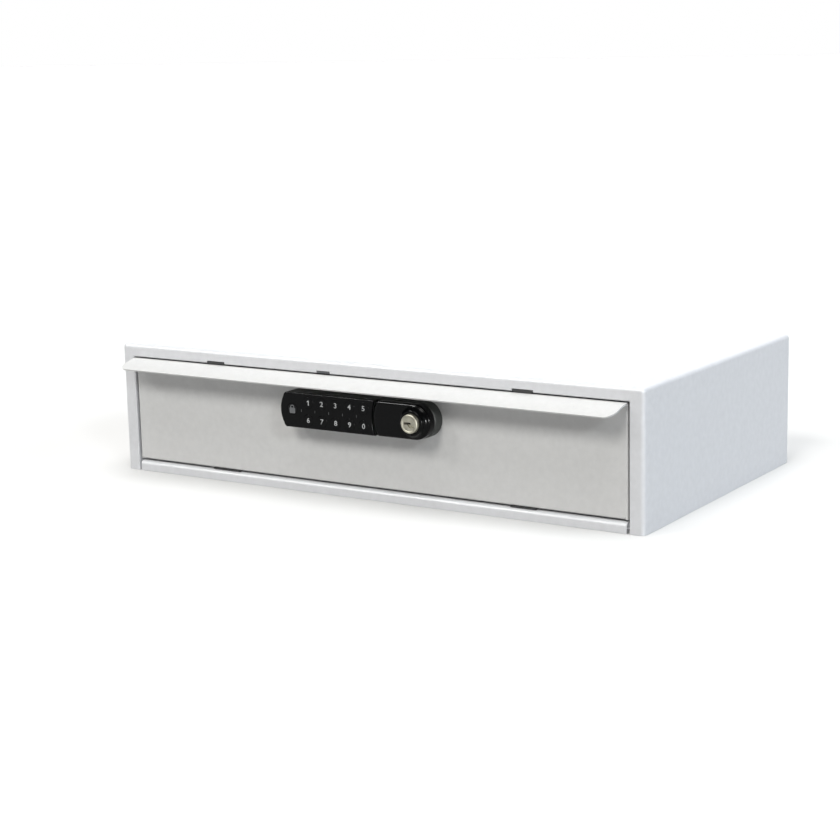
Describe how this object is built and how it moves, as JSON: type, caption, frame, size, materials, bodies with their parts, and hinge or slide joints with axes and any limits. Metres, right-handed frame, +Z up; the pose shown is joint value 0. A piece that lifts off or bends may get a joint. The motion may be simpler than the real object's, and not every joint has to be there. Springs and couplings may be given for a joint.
{
  "type": "lockable medication cart drawer unit",
  "caption": "Low sheet-steel cabinet with one inset drawer on telescopic slides, a full-width pull lip and a keypad cam lock with a turn lever.",
  "frame": {"origin": "centre of the bounding box's underside: mid-width, mid-way from the key plug's face to the rear edge, on the underside of the base", "axes": "+X to the user's right, +Y to the rear (the drawer front faces -Y), +Z up"},
  "size_m": [0.457, 0.2764, 0.102],
  "materials": {
    "cabinet_coat": "fine-textured light bluish grey powder coat, satin",
    "front_coat": "fine-textured light neutral grey powder coat, satin",
    "tray_coat": "light grey powder coat, satin",
    "zinc": "bright zinc plate",
    "rubber": "matt black rubber",
    "lock_black": "semi-gloss black moulded plastic",
    "case_black": "matt black moulded plastic, fine spark texture",
    "nickel": "warm satin nickel plate",
    "lens": "polished smoked acrylic",
    "board": "green solder mask",
    "battery": null
  },
  "bodies": {
    "cabinet": {"cabinet_shell": "cabinet_coat", "cabinet_base": "cabinet_coat", "cabinet_back": "cabinet_coat", "back_screw_1": "zinc", "back_screw_2": "zinc", "back_screw_3": "zinc", "back_screw_4": "zinc", "slide_bracket_left": "zinc", "slide_bracket_right": "zinc", "slide_outer_left": "zinc", "slide_outer_right": "zinc", "top_bumper_left": "rubber", "top_bumper_right": "rubber", "base_bumper_left": "rubber", "base_bumper_right": "rubber", "centre_catch": "zinc", "strike_plate": "zinc"},
    "slide_left": {"slide_middle_left": "zinc"},
    "slide_right": {"slide_middle_right": "zinc"},
    "drawer": {"drawer_front": "front_coat", "drawer_tray": "tray_coat", "slide_inner_left": "zinc", "slide_inner_right": "zinc", "front_screw_1": "zinc", "front_screw_2": "zinc", "front_screw_3": "zinc", "front_screw_4": "zinc", "divider_long": "tray_coat", "divider_short_left": "tray_coat", "divider_short_right": "tray_coat", "lock_base": "lock_black", "keypad_cover": "lock_black", "status_lens": "lens", "key_mat": "rubber", "circuit_board": "board", "lock_case": "case_black", "battery_cover": "case_black", "battery_upper": "battery", "battery_lower": "battery", "lock_motor": "zinc", "spindle_bush": "nickel", "lock_screw_1": "zinc", "lock_screw_2": "zinc"},
    "key_1": {"key_1": "lock_black"},
    "key_2": {"key_2": "lock_black"},
    "key_3": {"key_3": "lock_black"},
    "key_4": {"key_4": "lock_black"},
    "key_5": {"key_5": "lock_black"},
    "key_6": {"key_6": "lock_black"},
    "key_7": {"key_7": "lock_black"},
    "key_8": {"key_8": "lock_black"},
    "key_9": {"key_9": "lock_black"},
    "key_0": {"key_0": "lock_black"},
    "lever": {"turn_lever": "lock_black", "hub_ring": "lock_black", "lever_spindle": "nickel", "lock_cam": "nickel", "cam_nut": "zinc"},
    "plug": {"key_plug": "nickel"}
  },
  "joints": [
    {"name": "drawer_slide", "type": "slide", "parent": "cabinet", "child": "drawer", "axis": [0, -1, 0], "range_m": [0, 0.2]},
    {"name": "slide_left_travel", "type": "slide", "parent": "cabinet", "child": "slide_left", "axis": [0, -1, 0], "range_m": [0, 0.1]},
    {"name": "slide_right_travel", "type": "slide", "parent": "cabinet", "child": "slide_right", "axis": [0, -1, 0], "range_m": [0, 0.1]},
    {"name": "key_1_press", "type": "slide", "parent": "drawer", "child": "key_1", "axis": [0, 1, 0], "range_m": [0, 0.0008], "stiffness_N_per_m": 600, "springref_m": -0.0003},
    {"name": "key_2_press", "type": "slide", "parent": "drawer", "child": "key_2", "axis": [0, 1, 0], "range_m": [0, 0.0008], "stiffness_N_per_m": 600, "springref_m": -0.0003},
    {"name": "key_3_press", "type": "slide", "parent": "drawer", "child": "key_3", "axis": [0, 1, 0], "range_m": [0, 0.0008], "stiffness_N_per_m": 600, "springref_m": -0.0003},
    {"name": "key_4_press", "type": "slide", "parent": "drawer", "child": "key_4", "axis": [0, 1, 0], "range_m": [0, 0.0008], "stiffness_N_per_m": 600, "springref_m": -0.0003},
    {"name": "key_5_press", "type": "slide", "parent": "drawer", "child": "key_5", "axis": [0, 1, 0], "range_m": [0, 0.0008], "stiffness_N_per_m": 600, "springref_m": -0.0003},
    {"name": "key_6_press", "type": "slide", "parent": "drawer", "child": "key_6", "axis": [0, 1, 0], "range_m": [0, 0.0008], "stiffness_N_per_m": 600, "springref_m": -0.0003},
    {"name": "key_7_press", "type": "slide", "parent": "drawer", "child": "key_7", "axis": [0, 1, 0], "range_m": [0, 0.0008], "stiffness_N_per_m": 600, "springref_m": -0.0003},
    {"name": "key_8_press", "type": "slide", "parent": "drawer", "child": "key_8", "axis": [0, 1, 0], "range_m": [0, 0.0008], "stiffness_N_per_m": 600, "springref_m": -0.0003},
    {"name": "key_9_press", "type": "slide", "parent": "drawer", "child": "key_9", "axis": [0, 1, 0], "range_m": [0, 0.0008], "stiffness_N_per_m": 600, "springref_m": -0.0003},
    {"name": "key_0_press", "type": "slide", "parent": "drawer", "child": "key_0", "axis": [0, 1, 0], "range_m": [0, 0.0008], "stiffness_N_per_m": 600, "springref_m": -0.0003},
    {"name": "lever_turn", "type": "hinge", "parent": "drawer", "child": "lever", "pos_m": [0.055, -0.12775, 0.0658], "axis": [0, -1, 0], "range_deg": [0, 90]},
    {"name": "plug_turn", "type": "hinge", "parent": "lever", "child": "plug", "pos_m": [0.055, -0.13575, 0.0658], "axis": [0, 1, 0], "range_deg": [0, 90]}
  ],
  "couplings": [
    {"joint": "slide_left_travel", "follows": "drawer_slide", "ratio": 0.5},
    {"joint": "slide_right_travel", "follows": "drawer_slide", "ratio": 0.5}
  ]
}
